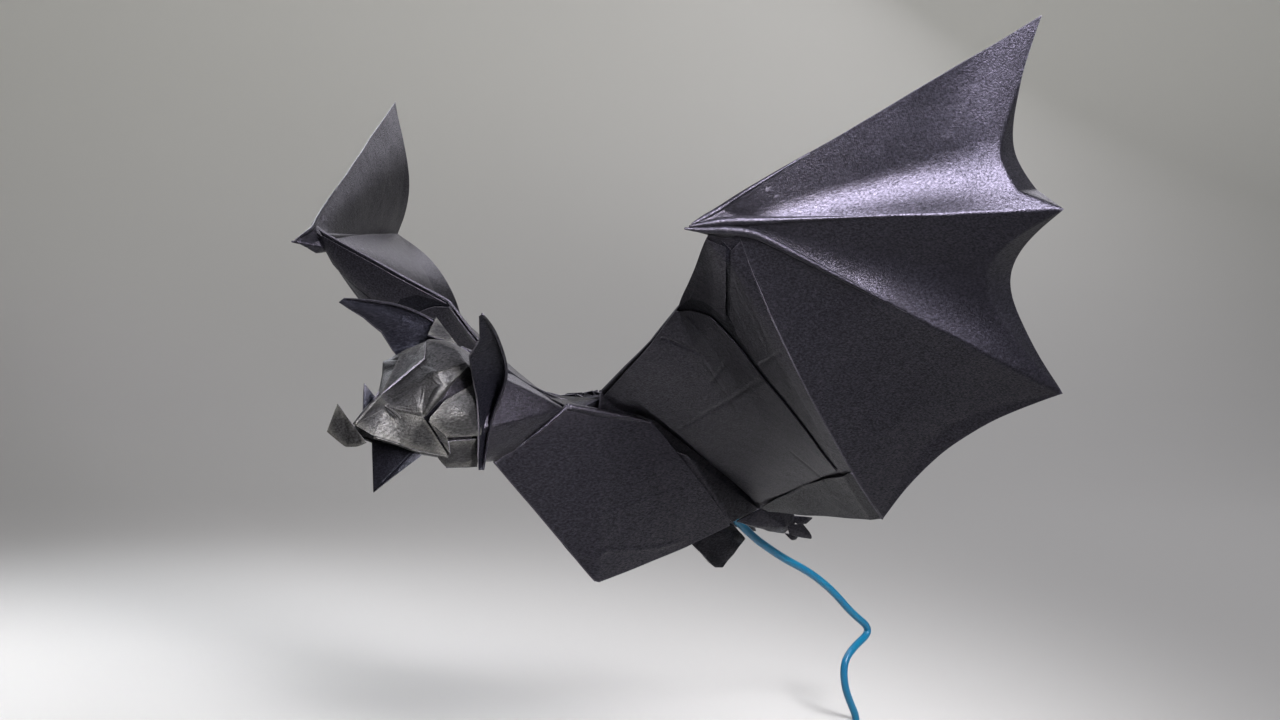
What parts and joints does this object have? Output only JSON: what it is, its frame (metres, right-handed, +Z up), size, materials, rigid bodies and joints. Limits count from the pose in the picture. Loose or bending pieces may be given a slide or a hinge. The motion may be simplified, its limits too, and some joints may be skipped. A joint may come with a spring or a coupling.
{
  "type": "origami bat",
  "caption": "Flying bat folded from one black paper sheet, wings spread and head raised, held up by a stiff bent coated wire at its tail.",
  "frame": {"origin": "middle of the cut lower end of the display wire", "axes": "+X to the bat's left, +Y to its tail, +Z up; the bat faces -Y"},
  "size_m": [0.2972, 0.262, 0.2505],
  "materials": {
    "black_paper": "pearly black, fibrous",
    "wire_coating": "cyan blue coating, semi gloss"
  },
  "bodies": {
    "root": {"folded_sheet": "black_paper", "display_wire": "wire_coating"}
  },
  "joints": []
}
